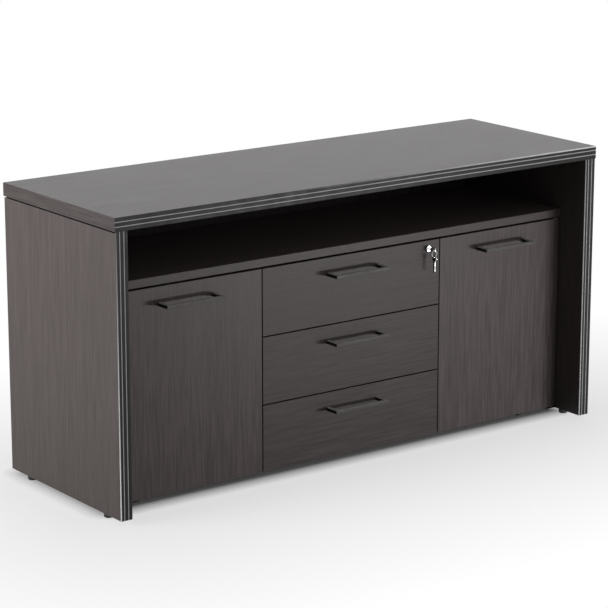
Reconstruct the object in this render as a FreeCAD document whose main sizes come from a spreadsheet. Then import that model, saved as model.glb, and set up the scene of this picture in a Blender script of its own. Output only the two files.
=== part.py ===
import FreeCAD, Part
import os
import re
import Sketcher

# Low executive cabinet: an open niche under a thick top, two doors hung on pivots and a stack of three
# drawers between them, all set back behind the reeded front edges of the top and the side panels.
# Sizes are in millimetres. The origin is on the floor under the middle of the cabinet: X runs to the
# right as seen from the front, Y to the back and Z up.

# Driving dimensions: name, size, meaning
SIZES = (
    ("cabinet_width", 1510, "width across the top"),
    ("cabinet_depth", 516, "depth of the top and the side panels"),
    ("cabinet_height", 755, "floor to the upper face of the top"),
    ("top_thickness", 34, "top board"),
    ("top_overhang", 2.5, "top past the outer face of each side panel"),
    ("side_thickness", 32, "side panels"),
    ("side_clearance", 13, "lower edge of the side panels above the floor"),
    ("shadow_height", 4, "rebate that draws a dark line between the top and each side panel"),
    ("shadow_depth", 7, "rebate under the top, from the outer face of a side panel"),
    ("board_easing", 0.8, "rounding along the visible edges of the boards"),
    ("profile_depth", 4, "reeded edge profile, front to back"),
    ("inlay_pitch", 11.5, "between the two inlay strips of a profile"),
    ("inlay_width", 2.4, "inlay strip and its groove"),
    ("groove_depth", 1.6, "groove of an inlay strip"),
    ("inlay_thickness", 0.9, "inlay strip, seated on the floor of its groove"),
    ("reed_radius", 1.2, "rounding along both edges of each reed"),
    ("reed_wall", 0.4, "least straight wall of a groove below the rounding"),
    ("niche_height", 149, "clear height between the deck and the top"),
    ("deck_thickness", 21, "deck board under the niche"),
    ("bottom_thickness", 18, "bottom board"),
    ("bottom_clearance", 16, "underside of the bottom board above the floor"),
    ("partition_thickness", 18, "boards each side of the drawers"),
    ("back_thickness", 16, "back board"),
    ("back_recess", 2, "back board behind the rear edges of the side panels"),
    ("vent_width", 200, "air cut-out in the back of the left bay"),
    ("vent_height", 60, "air cut-out"),
    ("vent_rise", 60, "air cut-out above the bottom board"),
    ("vent_corner", 12, "corner radius of the air cut-out"),
    ("front_setback", 97.5, "faces of the doors and drawers behind the front edge"),
    ("front_thickness", 18, "door and drawer fronts"),
    ("front_gap", 3, "between neighbouring fronts"),
    ("stack_width", 569, "drawer stack, between the middles of its two side gaps"),
    ("stack_offset", 17, "middle of the drawer stack to the right of the cabinet's middle"),
    ("pivot_inset", 8, "pivot axis from the outer edge of a door"),
    ("pivot_depth", 7, "pivot axis behind the face of a door"),
    ("swing_clearance", 0.4, "least gap round a door while it swings"),
    ("pivot_radius", 2.5, "pivot pins"),
    ("pivot_fit", 0.05, "radial clearance of a pivot pin in its bush"),
    ("pivot_play", 1, "between a bush flange and the pivot plate"),
    ("pivot_plate", 3, "thickness of the pivot plates"),
    ("plate_reach", 18, "pivot plate past the pivot axis, sideways"),
    ("plate_length", 40, "pivot plate behind the front edge of the carcass"),
    ("plate_setback", 1.5, "front end of a pivot plate behind the face of the doors"),
    ("pin_length", 12, "pivot pin inside the door"),
    ("bush_radius", 4.2, "outside of a pivot bush"),
    ("bush_length", 14, "pivot bush inside the door"),
    ("bush_flange", 1, "thickness of a bush flange"),
    ("flange_radius", 6, "outside of a bush flange"),
    ("seat_fit", 0.05, "radial clearance of a bush, lock or connector in its hole"),
    ("bumper_radius", 3, "door bumpers"),
    ("bumper_inset", 40, "bumpers from the ends of a door"),
    ("bumper_play", 0.2, "between a bumper and its closed door"),
    ("handle_pitch", 160, "between the middles of a handle's legs"),
    ("handle_leg", 10, "width of a handle leg"),
    ("handle_bar", 9, "handle bar, front to back"),
    ("handle_height", 8, "handle bar and legs, top to bottom"),
    ("handle_reach", 44, "handle in front of its door or drawer"),
    ("handle_drop", 43, "middle of a handle below the upper edge of its front"),
    ("handle_round", 1, "rounding of the handle bar"),
    ("runner_width", 12.7, "space for a runner beside the drawer box"),
    ("runner_clearance", 27.5, "runners in front of the back"),
    ("runner_height", 45, "outermost runner member"),
    ("runner_setback", 2, "runners behind the front edge of the carcass"),
    ("runner_gauge", 1.2, "sheet of the runner members"),
    ("runner_play", 0.35, "between nested runner members"),
    ("box_board", 12, "sides and back of a drawer box"),
    ("box_clearance", 12.5, "drawer box in front of the back"),
    ("box_lift", 18, "drawer box above the lower edge of its front"),
    ("box_groove", 6, "depth of the groove for the drawer bottom"),
    ("groove_rise", 10, "groove above the lower edge of the box"),
    ("groove_play", 0.2, "drawer bottom in its groove"),
    ("tray_thickness", 4, "drawer bottom"),
    ("shelf_height", 297, "underside of the shelf in the right bay"),
    ("shelf_thickness", 18, "shelf"),
    ("shelf_setback", 15, "shelf behind the front edge of the carcass"),
    ("shelf_play", 1, "shelf to the boards around it"),
    ("peg_radius", 2.5, "shelf pegs"),
    ("peg_depth", 10, "shelf peg in its board"),
    ("peg_reach", 9, "shelf peg under the shelf"),
    ("peg_width", 10, "flat saddle of a shelf peg"),
    ("peg_drop", 3.5, "peg axis below the shelf"),
    ("peg_inset", 60, "pegs from the ends of the shelf"),
    ("peg_fit", 0.1, "radial clearance of a peg in its hole"),
    ("peg_pitch", 64, "between the rows of peg holes"),
    ("glide_radius", 12, "floor glides"),
    ("glide_bevel", 2, "bevel round the foot of a glide"),
    ("glide_front", 82, "side glides from the front edge"),
    ("glide_rear", 74, "side glides from the rear edge"),
    ("glide_inset", 97, "bottom glides from the side panels"),
    ("glide_setback", 24, "bottom glides from the edges of the bottom board"),
    ("connector_radius", 7.5, "round housings of the cam connectors"),
    ("connector_depth", 12.5, "cam connectors in their board"),
    ("connector_inset", 34, "cam connectors from the side panels"),
    ("connector_setback", 62, "cam connectors from the front and rear edges"),
    ("lock_inset", 36, "lock from the right edge of the top drawer"),
    ("lock_drop", 22, "lock below the upper edge of the top drawer"),
    ("lock_rim", 8.6, "outer radius of the lock's rim, on the drawer"),
    ("lock_face", 7.8, "radius of the rim's flat face"),
    ("lock_flange", 1.5, "rim in front of the drawer"),
    ("lock_radius", 7, "lock housing in the drawer front"),
    ("plug_radius", 5, "turning plug of the lock"),
    ("plug_fit", 0.06, "radial clearance of the plug in its housing"),
    ("plug_tail", 3, "radius of the plug's tail in the cam"),
    ("tail_end", 0.6, "tail of the plug behind the cam"),
    ("nut_radius", 11, "lock nut, across its corners"),
    ("nut_thickness", 3.5, "lock nut"),
    ("lock_clearance", 2, "between the lock nut and the drawer box"),
    ("housing_tail", 0.5, "lock housing behind its nut"),
    ("cam_thickness", 2, "lock cam"),
    ("cam_width", 10, "lock cam"),
    ("cam_play", 0.3, "lock cam behind the housing"),
    ("cam_clearance", 2, "tip of the raised cam below the strike"),
    ("strike_thickness", 2, "lock strike"),
    ("strike_width", 30, "lock strike"),
    ("strike_length", 26, "leaf of the strike under the deck"),
    ("strike_gap", 1.5, "strike behind the top drawer's front"),
    ("strike_clearance", 1.2, "strike above the lock nut"),
    ("key_bow", 8, "radius of a key's bow"),
    ("key_thickness", 2, "keys"),
    ("key_blade", 6.4, "height of a key's blade"),
    ("key_length", 38, "middle of the bow to the tip of the blade"),
    ("key_reach", 21, "middle of the bow in front of the drawer"),
    ("key_eye", 2.2, "radius of the eye in a key's bow"),
    ("key_eye_inset", 3.4, "eye from the middle of the bow"),
    ("key_fit", 0.15, "key in the keyway"),
    ("key_lap", 1.6, "blade of a key let into its bow"),
    ("key_notch", 1.6, "depth of the notches in a key's blade"),
    ("notch_width", 3.4, "notches of a key's blade, and the lands between them"),
    ("ring_radius", 8, "key ring, to the middle of its wire"),
    ("ring_wire", 0.7, "key ring's wire, from its middle to its flats"),
    ("ring_play", 0.2, "wire of the ring above the edge of an eye"),
)

# Places worked out from the driving dimensions
PLACES = (
    ("side_outer", "=cabinet_width / 2 - top_overhang", "outer face of a side panel"),
    ("side_inner", "=side_outer - side_thickness", "inner face of a side panel"),
    ("side_middle", "=side_outer - side_thickness / 2", "middle of a side panel"),
    ("front_edge", "=-cabinet_depth / 2", "face of the edge profiles"),
    ("rear_edge", "=cabinet_depth / 2", "rear edge of the top"),
    ("board_front", "=front_edge + profile_depth", "boards behind the edge profiles"),
    ("reed_round", "=min(reed_radius; groove_depth - reed_wall)", "rounding of the reeds"),
    ("top_bottom", "=cabinet_height - top_thickness", "underside of the top"),
    ("deck_top", "=top_bottom - niche_height", "upper face of the deck"),
    ("deck_bottom", "=deck_top - deck_thickness", "underside of the deck"),
    ("bottom_top", "=bottom_clearance + bottom_thickness", "upper face of the bottom board"),
    ("back_inner", "=rear_edge - back_recess - back_thickness", "inner face of the back"),
    ("front_face", "=front_edge + front_setback", "faces of the doors and drawers"),
    ("front_rear", "=front_face + front_thickness", "rear faces of the doors and drawers"),
    ("pivot_rear", "=front_thickness - pivot_depth", "door behind its pivot axis"),
    ("side_gap", "=sqrt(pivot_inset^2 + pivot_depth^2) - pivot_inset + swing_clearance", "door to side"),
    ("rear_gap", "=sqrt(pivot_inset^2 + pivot_rear^2) - pivot_rear + swing_clearance", "door to carcass"),
    ("carcass_front", "=front_rear + rear_gap", "front edges of the bottom and the partitions"),
    ("door_outer", "=side_inner - side_gap", "outer edge of a door"),
    ("pivot_across", "=door_outer - pivot_inset", "pivot axis of a door, from the middle"),
    ("pivot_back", "=front_face + pivot_depth", "pivot axis of a door, front to back"),
    ("fronts_bottom", "=bottom_clearance + pivot_play + bush_flange", "lower edge of the fronts"),
    ("fronts_top", "=deck_bottom - pivot_plate - pivot_play - bush_flange", "upper edge of the fronts"),
    ("drawer_height", "=(fronts_top - fronts_bottom - 2 * front_gap) / 3", "drawer fronts"),
    ("stack_left", "=stack_offset - stack_width / 2", "middle of the gap left of the drawers"),
    ("stack_right", "=stack_offset + stack_width / 2", "middle of the gap right of the drawers"),
    ("bay_left", "=stack_left + partition_thickness / 2", "left wall of the drawer bay"),
    ("bay_right", "=stack_right - partition_thickness / 2", "right wall of the drawer bay"),
    ("box_left", "=bay_left + runner_width", "left face of the drawer boxes"),
    ("box_right", "=bay_right - runner_width", "right face of the drawer boxes"),
    ("box_height", "=drawer_height - box_lift - lock_drop - nut_radius - lock_clearance", "drawer box"),
    ("box_rear", "=back_inner - box_clearance", "rear faces of the drawer boxes"),
    ("runner_front", "=carcass_front + runner_setback", "front ends of the runners"),
    ("runner_length", "=back_inner - runner_clearance - runner_front", "runner members"),
    ("shelf_left", "=stack_right + partition_thickness / 2", "left wall of the right bay"),
    ("peg_height", "=shelf_height - peg_drop", "axes of the shelf pegs"),
    ("lock_across", "=stack_right - front_gap / 2 - lock_inset", "lock axis, from the middle"),
    ("lock_height", "=fronts_top - lock_drop", "lock axis, from the floor"),
    ("strike_bottom", "=lock_height + nut_radius + strike_clearance", "lower edge of the strike"),
    ("strike_rear", "=strike_gap + strike_thickness", "rear of the strike behind the fronts"),
    ("housing_rear", "=front_rear + max(nut_thickness + housing_tail; strike_rear)", "end of the housing"),
    ("cam_front", "=housing_rear + cam_play", "front of the lock cam"),
    ("cam_reach", "=deck_bottom - strike_thickness - cam_clearance - lock_height", "axis to cam tip"),
    ("eye_back", "=front_face - key_reach - key_eye_inset", "eye of the key in the lock"),
    ("ring_flat", "=ring_wire / sqrt(3)", "half of one flat of the ring's wire, which has six"),
    ("ring_drop", "=key_eye - ring_wire - ring_play", "ring wire below the middle of an eye"),
    ("ring_height", "=lock_height - ring_drop - ring_radius", "middle of the key ring"),
    ("spare_height", "=ring_height - ring_radius - ring_drop - key_eye_inset", "bow of the spare key"),
)

TURNS = {
    "x": FreeCAD.Rotation(FreeCAD.Vector(0, 1, 0), 90),
    "y": FreeCAD.Rotation(FreeCAD.Vector(1, 0, 0), -90),
    "z": FreeCAD.Rotation(),
    "key": FreeCAD.Rotation(FreeCAD.Vector(1, 1, 1), 120),
}
STUD_FLATS = 12
NUT_FLATS = 6
TOUCH = 1e-6

doc = FreeCAD.newDocument("Cabinet")
sheet_of = {}
nodes = []


def bind(text, home=None):
    """The expression for a text that names sizes and places; those of the home sheet stay bare."""
    def full(word):
        sheet = sheet_of.get(word.group(), home)
        return word.group() if sheet == home else f"{sheet}.{word.group()}"
    return re.sub(r"[a-z][a-z_]*", full, text)


def fill_sheet(name, rows):
    """A sheet with one named cell for each row."""
    sheet = doc.addObject("Spreadsheet::Sheet", name)
    for line, (alias, value, meaning) in enumerate(rows, start=1):
        sheet.set(f"A{line}", alias)
        sheet.set(f"B{line}", bind(str(value), name))
        sheet.set(f"C{line}", meaning)
        sheet.setAlias(f"B{line}", alias)
        sheet_of[alias] = name
    doc.recompute()
    return sheet


sizes = fill_sheet("Sizes", SIZES)
places = fill_sheet("Places", PLACES)


def measure(text):
    """What a text comes to, in millimetres."""
    return float(places.evalExpression(bind(text)))


def put(thing, place, turn="z"):
    """Places a piece at three bound coordinates."""
    thing.Placement = FreeCAD.Placement(FreeCAD.Vector(), TURNS[turn])
    for axis, text in zip("xyz", place):
        thing.setExpression(f"Placement.Base.{axis}", bind(text))
    return thing


def block(name, *spans):
    """A box between low and high places along X, Y and Z."""
    solid = doc.addObject("Part::Box", name)
    for side, (low, high) in zip(("Length", "Width", "Height"), spans):
        solid.setExpression(side, bind(f"({high}) - ({low})"))
    return put(solid, [low for low, high in spans])


def rod(name, radius, length, place, turn="z"):
    """A cylinder that starts at a place and runs along one axis."""
    solid = doc.addObject("Part::Cylinder", name)
    solid.setExpression("Radius", bind(radius))
    solid.setExpression("Height", bind(length))
    return put(solid, place, turn)


def prism(name, flats, radius, length, place, turn="z"):
    """A prism of equal flats that starts at a place and runs along one axis."""
    solid = doc.addObject("Part::Prism", name)
    solid.Polygon = round(flats)
    solid.setExpression("Circumradius", bind(radius))
    solid.setExpression("Height", bind(length))
    return put(solid, place, turn)


def stud(name, radius, length, place, turn="z"):
    """A small plug or its hole, nearly round."""
    return prism(name, STUD_FLATS, radius, length, place, turn)


def cut(name, base, tools):
    """A solid less its holes and grooves."""
    result = doc.addObject("Part::Cut", name)
    result.Base = base
    result.Tool = group(f"{name}_cuts", tools)
    return result


def fuse(name, solids):
    """One solid from several."""
    result = doc.addObject("Part::MultiFuse", name)
    result.Shapes = solids
    return result


def group(name, solids):
    """Like solids that stay separate."""
    result = doc.addObject("Part::Compound", name)
    result.Links = solids
    return result


def lies_on(edge, shape, side):
    """Whether an edge lies on one side of the box round a shape."""
    axis = side[0].lower()
    plane = getattr(shape.BoundBox, side)
    return all(abs(getattr(corner.Point, axis) - plane) < TOUCH for corner in edge.Vertexes)


def ease(name, base, radius, sides, leave=()):
    """A solid with the edges of some of its sides rounded, but for those of the sides to leave."""
    doc.recompute()
    shape = base.Shape
    size = measure(radius)
    chosen = []
    for number, edge in enumerate(shape.Edges, start=1):
        wanted = any(lies_on(edge, shape, side) for side in sides)
        if wanted and not any(lies_on(edge, shape, side) for side in leave):
            chosen.append((number, size, size))
    result = doc.addObject("Part::Fillet", name)
    result.Base = base
    result.Edges = chosen
    return result


def pin(sketch, kind, target, text):
    """One bound dimension of a sketch."""
    number = sketch.addConstraint(Sketcher.Constraint(kind, *target, measure(text)))
    sketch.setExpression(f"Constraints[{number}]", bind(text))


def section(body, plane, points, circles=()):
    """A sketch of a closed outline of straight lines and of round holes, each dimension bound."""
    sketch = body.newObject("Sketcher::SketchObject", f"{body.Name}_section")
    origin = next(face for face in body.Origin.OriginFeatures if face.Role == plane)
    sketch.AttachmentSupport = (origin, [""])
    sketch.MapMode = "FlatFace"
    corners = [FreeCAD.Vector(measure(across), measure(up), 0) for across, up in points]
    for start, end in zip(corners, corners[1:] + corners[:1]):
        sketch.addGeometry(Part.LineSegment(start, end), False)
    for number, (across, up) in enumerate(points):
        sketch.addConstraint(Sketcher.Constraint("Coincident", number, 2, (number + 1) % len(points), 1))
        pin(sketch, "DistanceX", (number, 1), across)
        pin(sketch, "DistanceY", (number, 1), up)
    for across, up, radius in circles:
        centre = FreeCAD.Vector(measure(across), measure(up), 0)
        circle = Part.Circle(centre, FreeCAD.Vector(0, 0, 1), measure(radius))
        number = sketch.addGeometry(circle, False)
        pin(sketch, "DistanceX", (number, 3), across)
        pin(sketch, "DistanceY", (number, 3), up)
        pin(sketch, "Radius", (number,), radius)
    return sketch


def extrude(name, plane, points, length, place, turn="z", circles=()):
    """A body of one section, padded along the positive normal axis of its plane."""
    body = doc.addObject("PartDesign::Body", name)
    profile = section(body, plane, points, circles)
    pad = body.newObject("PartDesign::Pad", f"{name}_pad")
    pad.Profile = profile
    pad.Reversed = plane == "XZ_Plane"
    pad.setExpression("Length", bind(length))
    return put(body, place, turn)


def turn_body(name, points, place, turn="z"):
    """A body turned from half its section: radius and height of each corner."""
    body = doc.addObject("PartDesign::Body", name)
    profile = section(body, "XZ_Plane", points)
    revolution = body.newObject("PartDesign::Revolution", f"{name}_turn")
    revolution.Profile = profile
    revolution.ReferenceAxis = (profile, ["V_Axis"])
    revolution.Angle = 360
    return put(body, place, turn)


def round_body(body, radius, wanted):
    """Rounds the chosen edges of a body."""
    doc.recompute()
    padded = body.Tip
    edges = enumerate(padded.Shape.Edges, start=1)
    rounding = body.newObject("PartDesign::Fillet", f"{body.Name}_round")
    rounding.Base = (padded, [f"Edge{number}" for number, edge in edges if wanted(edge)])
    rounding.setExpression("Radius", bind(radius))
    return body


def node(piece):
    """Notes a finished sub-part, which keeps its name as its label."""
    piece.Label = piece.Name
    nodes.append(piece)
    return piece


def across(side, low, high):
    """An X span stated for the right-hand side, on either side."""
    return (low, high) if side == "right" else (f"-({high})", f"-({low})")


def over(side, text):
    """An X place stated for the right-hand side, on either side."""
    return text if side == "right" else f"-({text})"


def reeds(width):
    """Section of a reeded profile, across its width and back from its face: two grooves, three reeds."""
    line = "inlay_pitch / 2"
    half = "inlay_width / 2"
    corners = [(f"-({width}) / 2", "0")]
    for sign in ("-", ""):
        corners.append((f"{sign}{line} - {half}", "0"))
        corners.append((f"{sign}{line} - {half}", "groove_depth"))
        corners.append((f"{sign}{line} + {half}", "groove_depth"))
        corners.append((f"{sign}{line} + {half}", "0"))
    corners.append((f"({width}) / 2", "0"))
    corners.append((f"({width}) / 2", "profile_depth"))
    corners.append((f"-({width}) / 2", "profile_depth"))
    return corners


def edge_profile(name, plane, corners, length, place):
    """A reeded strip whose six long front edges are rounded."""
    body = extrude(name, plane, corners, length, place)
    long_edge = measure(length) - TOUCH

    def is_arris(edge):
        return edge.Length > long_edge and all(abs(end.Y) < TOUCH for end in edge.Vertexes)

    return node(round_body(body, "reed_round", is_arris))


def build_top():
    """Top board, its reeded front edge and the two strips in that edge."""
    wide = ("-cabinet_width / 2", "cabinet_width / 2")
    board = block("top_board", wide, ("board_front", "rear_edge"), ("top_bottom", "cabinet_height"))
    node(ease("top_panel", board, "board_easing", ("ZMax", "ZMin"), ("YMin",)))
    middle = "cabinet_height - top_thickness / 2"
    corners = [(back, up) for up, back in reeds("top_thickness")]
    place = ("-cabinet_width / 2", "front_edge", middle)
    edge_profile("top_edge_profile", "YZ_Plane", corners, "cabinet_width", place)
    strips = []
    for name, line in (("lower", "- inlay_pitch / 2"), ("upper", "+ inlay_pitch / 2")):
        height = (f"{middle} {line} - inlay_width / 2", f"{middle} {line} + inlay_width / 2")
        strips.append(block(f"top_{name}_strip", wide, strip_depth(), height))
    node(group("top_edge_inlays", strips))


def strip_depth():
    """Front and back of an inlay strip."""
    return ("front_edge + groove_depth - inlay_thickness", "front_edge + groove_depth")


def build_sides():
    """Side panels with their shadow lines, their reeded front edges and the strips in them."""
    strips = []
    deep = ("board_front", "rear_edge")
    tall = ("side_clearance", "top_bottom")
    for side in ("left", "right"):
        board = block(f"{side}_side_board", across(side, "side_inner", "side_outer"), deep, tall)
        eased = ease(f"{side}_side_eased", board, "board_easing", ("YMax",), ("ZMin", "ZMax"))
        line = across(side, "side_outer - shadow_depth", "side_outer")
        cuts = [block(f"{side}_shadow_line", line, deep, ("top_bottom - shadow_height", "top_bottom"))]
        if side == "right":
            cuts += peg_holes("side_hole", "side_inner")
        node(cut(f"{side}_side_panel", eased, cuts))
        place = (over(side, "side_middle"), "front_edge", "side_clearance")
        height = "top_bottom - side_clearance"
        edge_profile(f"{side}_edge_profile", "XY_Plane", reeds("side_thickness"), height, place)
        lines = {"inner": "side_middle - inlay_pitch / 2", "outer": "side_middle + inlay_pitch / 2"}
        for name, line in lines.items():
            wide = across(side, f"{line} - inlay_width / 2", f"{line} + inlay_width / 2")
            strips.append(block(f"{side}_{name}_strip", wide, strip_depth(), tall))
    node(group("side_edge_inlays", strips))


def connector_spots():
    """Middles of the cam connectors, seen from above."""
    spots = []
    for side in ("left", "right"):
        for depth in ("carcass_front + connector_setback", "back_inner - connector_setback"):
            spots.append((over(side, "side_inner - connector_inset"), depth))
    return spots


def build_carcass_boards():
    """Deck, bottom, partitions and back, with the connectors that draw them to the side panels."""
    wide = ("-side_inner", "side_inner")
    hole = "connector_radius + seat_fit"
    discs = []
    holes = {"deck": [], "bottom": []}
    floors = {"deck": "deck_bottom", "bottom": "bottom_top - connector_depth"}
    for board, low in floors.items():
        for number, spot in enumerate(connector_spots()):
            place = (*spot, low)
            discs.append(stud(f"{board}_disc{number}", "connector_radius", "connector_depth", place))
            holes[board].append(stud(f"{board}_hole{number}", hole, "connector_depth", place))
    deck = block("deck_board", wide, ("front_face", "back_inner"), ("deck_bottom", "deck_top"))
    eased = ease("deck_eased", deck, "board_easing", ("YMin",), ("XMin", "XMax"))
    node(cut("deck_panel", eased, holes["deck"]))
    inside = ("carcass_front", "back_inner")
    bottom = block("bottom_board", wide, inside, ("bottom_clearance", "bottom_top"))
    node(cut("bottom_panel", bottom, holes["bottom"]))
    node(group("cam_connectors", discs))
    tall = ("bottom_top", "deck_bottom")
    node(block("left_partition", ("bay_left - partition_thickness", "bay_left"), inside, tall))
    board = block("right_partition_board", ("bay_right", "shelf_left"), inside, tall)
    node(cut("right_partition", board, peg_holes("partition_hole", "shelf_left - peg_depth")))
    back = ("back_inner", "back_inner + back_thickness")
    board = block("back_board", wide, back, ("side_clearance", "top_bottom"))
    middle = "(bay_left - partition_thickness - side_inner) / 2"
    vent = block(
        "vent_block",
        (f"{middle} - vent_width / 2", f"{middle} + vent_width / 2"),
        back,
        ("bottom_top + vent_rise", "bottom_top + vent_rise + vent_height"),
    )
    node(cut("back_panel", board, [round_vent(vent)]))


def round_vent(vent):
    """The air cut-out with its four corners rounded."""
    doc.recompute()
    size = measure("vent_corner")
    rounded = doc.addObject("Part::Fillet", "vent_cut")
    rounded.Base = vent
    corners = []
    for number, edge in enumerate(vent.Shape.Edges, start=1):
        if abs(edge.tangentAt(0).y) > 1 - TOUCH:
            corners.append((number, size, size))
    rounded.Edges = corners
    return rounded


def peg_places():
    """Front-to-back places of the shelf pegs."""
    return ("carcass_front + shelf_setback + peg_inset", "back_inner - shelf_play - peg_inset")


def peg_holes(name, start):
    """Rows of peg holes in one wall of the right bay."""
    holes = []
    for column, depth in enumerate(peg_places()):
        for row in (-1, 0, 1):
            place = (start, depth, f"peg_height + ({row}) * peg_pitch")
            label = f"{name}_{column}_{row + 1}"
            holes.append(stud(label, "peg_radius + peg_fit", "peg_depth", place, "x"))
    return holes


def build_shelf():
    """Shelf of the right bay and the four pegs under it."""
    wide = ("shelf_left + shelf_play", "side_inner - shelf_play")
    deep = ("carcass_front + shelf_setback", "back_inner - shelf_play")
    board = block("shelf_board", wide, deep, ("shelf_height", "shelf_height + shelf_thickness"))
    node(ease("right_bay_shelf", board, "board_easing", ("YMin",), ("XMin", "XMax")))
    pegs = []
    walls = {
        "left": ("shelf_left - peg_depth", ("shelf_left", "shelf_left + peg_reach")),
        "right": ("side_inner - peg_reach", ("side_inner - peg_reach", "side_inner")),
    }
    for wall, (start, saddle) in walls.items():
        for number, depth in enumerate(peg_places()):
            name = f"{wall}_peg{number}"
            place = (start, depth, "peg_height")
            peg = stud(f"{name}_pin", "peg_radius", "peg_depth + peg_reach", place, "x")
            width = (f"{depth} - peg_width / 2", f"{depth} + peg_width / 2")
            flat = block(f"{name}_saddle", saddle, width, ("peg_height", "shelf_height"))
            pegs.append(fuse(name, [peg, flat]))
    node(group("shelf_pegs", pegs))


def build_glides():
    """Round glides under the side panels and under the bottom board."""
    side_spots = []
    bottom_spots = []
    for side in ("left", "right"):
        for depth in ("front_edge + glide_front", "rear_edge - glide_rear"):
            side_spots.append((over(side, "side_middle"), depth))
        for depth in ("carcass_front + glide_setback", "back_inner - glide_setback"):
            bottom_spots.append((over(side, "side_inner - glide_inset"), depth))
    sets = (
        ("side_glides", side_spots, "side_clearance"),
        ("bottom_glides", bottom_spots, "bottom_clearance"),
    )
    for name, spots, height in sets:
        corners = (
            ("0", "0"),
            ("glide_radius - glide_bevel", "0"),
            ("glide_radius", "glide_bevel"),
            ("glide_radius", height),
            ("0", height),
        )
        glides = [turn_body(f"{name}_{n}", corners, (*spot, "0")) for n, spot in enumerate(spots)]
        node(group(name, glides))


def build_pivots():
    """Pivot plates under the deck and under the bottom board, each with its pin."""
    deep = ("front_face + plate_setback", "carcass_front + plate_length")
    levels = {
        "upper": (("deck_bottom - pivot_plate", "deck_bottom"), "fronts_top - pin_length"),
        "lower": (("bottom_clearance - pivot_plate", "bottom_clearance"), "bottom_clearance"),
    }
    length = "pin_length + pivot_play + bush_flange"
    for level, (thick, start) in levels.items():
        plates = []
        for side in ("left", "right"):
            name = f"{side}_{level}_pivot"
            wide = across(side, "pivot_across - plate_reach", "side_inner")
            plate = block(f"{name}_plate", wide, deep, thick)
            place = (over(side, "pivot_across"), "pivot_back", start)
            plates.append(fuse(name, [plate, rod(f"{name}_pin", "pivot_radius", length, place)]))
        node(group(f"{level}_pivot_plates", plates))


def build_handle(name, middle, top):
    """Bow handle: a bar on two legs, rounded but for the feet that stand on the front."""
    half = "(handle_pitch + handle_leg) / 2"
    inner = "(handle_pitch - handle_leg) / 2"
    bar = "-(handle_reach - handle_bar)"
    corners = (
        (f"-{half}", "0"),
        (f"-{half}", "-handle_reach"),
        (half, "-handle_reach"),
        (half, "0"),
        (inner, "0"),
        (inner, bar),
        (f"-{inner}", bar),
        (f"-{inner}", "0"),
    )
    height = f"{top} - handle_drop - handle_height / 2"
    body = extrude(name, "XY_Plane", corners, "handle_height", (middle, "front_face", height))
    reach = -measure("handle_reach")

    def is_front(edge):
        return all(abs(end.Y - reach) < TOUCH for end in edge.Vertexes)

    return node(round_body(body, "handle_round", is_front))


def build_bush(name, axis, body_low, flange_low):
    """A flanged bush with the bore for a pivot pin."""
    body = stud(f"{name}_body", "bush_radius", "bush_length", (*axis, body_low))
    flange = stud(f"{name}_flange", "flange_radius", "bush_flange", (*axis, flange_low))
    low = min(body_low, flange_low, key=measure)
    bore = rod(f"{name}_bore", "pivot_radius + pivot_fit", "bush_length + bush_flange", (*axis, low))
    return cut(name, fuse(f"{name}_blank", [body, flange]), [bore])


def build_doors():
    """Doors with their bushes and handles, and the bumpers that they close on."""
    tall = ("fronts_bottom", "fronts_top")
    edges = {
        "left": ("-door_outer", "stack_left - front_gap / 2"),
        "right": ("stack_right + front_gap / 2", "door_outer"),
    }
    ends = {
        "lower": ("fronts_bottom", "fronts_bottom - bush_flange", "fronts_bottom + bumper_inset"),
        "upper": ("fronts_top - bush_length", "fronts_top", "fronts_top - bumper_inset"),
    }
    bumpers = []
    for side, wide in edges.items():
        board = block(f"{side}_door_board", wide, ("front_face", "front_rear"), tall)
        eased = ease(f"{side}_door_eased", board, "board_easing", ("YMin",))
        axis = (over(side, "pivot_across"), "pivot_back")
        inset = "(partition_thickness + front_gap) / 4"
        spot = f"stack_left - {inset}" if side == "left" else f"stack_right + {inset}"
        holes = []
        bushes = []
        for end, (body_low, flange_low, height) in ends.items():
            name = f"{side}_door_{end}"
            holes.append(stud(f"{name}_hole", "bush_radius + seat_fit", "bush_length", (*axis, body_low)))
            bushes.append(build_bush(f"{name}_bush", axis, body_low, flange_low))
            place = (spot, "front_rear + bumper_play", height)
            bumpers.append(stud(f"{name}_bumper", "bumper_radius", "rear_gap - bumper_play", place, "y"))
        node(cut(f"{side}_door_panel", eased, holes))
        node(group(f"{side}_door_bushes", bushes))
        build_handle(f"{side}_door_handle", f"({wide[0]} + {wide[1]}) / 2", "fronts_top")
    node(group("door_bumpers", bumpers))


def channel(name, side, back, web, tip, half, height):
    """One runner member: a channel between its back and the tips of its flanges, from the bay's wall."""
    wall = "bay_left" if side == "left" else "bay_right"
    sign = "" if side == "left" else "-"
    corners = []
    for depth, level in (
        (back, f"-({half})"),
        (tip, f"-({half})"),
        (tip, f"-({half}) + runner_gauge"),
        (web, f"-({half}) + runner_gauge"),
        (web, f"{half} - runner_gauge"),
        (tip, f"{half} - runner_gauge"),
        (tip, half),
        (back, half),
    ):
        corners.append((f"{sign}({depth})", level))
    return extrude(name, "XZ_Plane", corners, "runner_length", (wall, "runner_front", height))


def build_runners(drawer, height):
    """Telescopic runners of one drawer: fixed, middle and drawer members on both sides."""
    step = "(runner_gauge + runner_play)"
    tip = "runner_width - runner_gauge - runner_play"
    box_half = f"runner_height / 2 - 2 * {step}"
    members = (
        ("cabinet_rails", "0", "runner_gauge", tip, "runner_height / 2"),
        ("middle_rails", step, f"{step} + runner_gauge", tip, f"runner_height / 2 - {step}"),
        ("box_rails", "runner_width", "runner_width - runner_gauge", f"2 * {step}", box_half),
    )
    for member, back, web, flange, half in members:
        pair = []
        for side in ("left", "right"):
            pair.append(channel(f"{drawer}_{member}_{side}", side, back, web, flange, half, height))
        node(group(f"{drawer}_drawer_{member}", pair))


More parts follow.
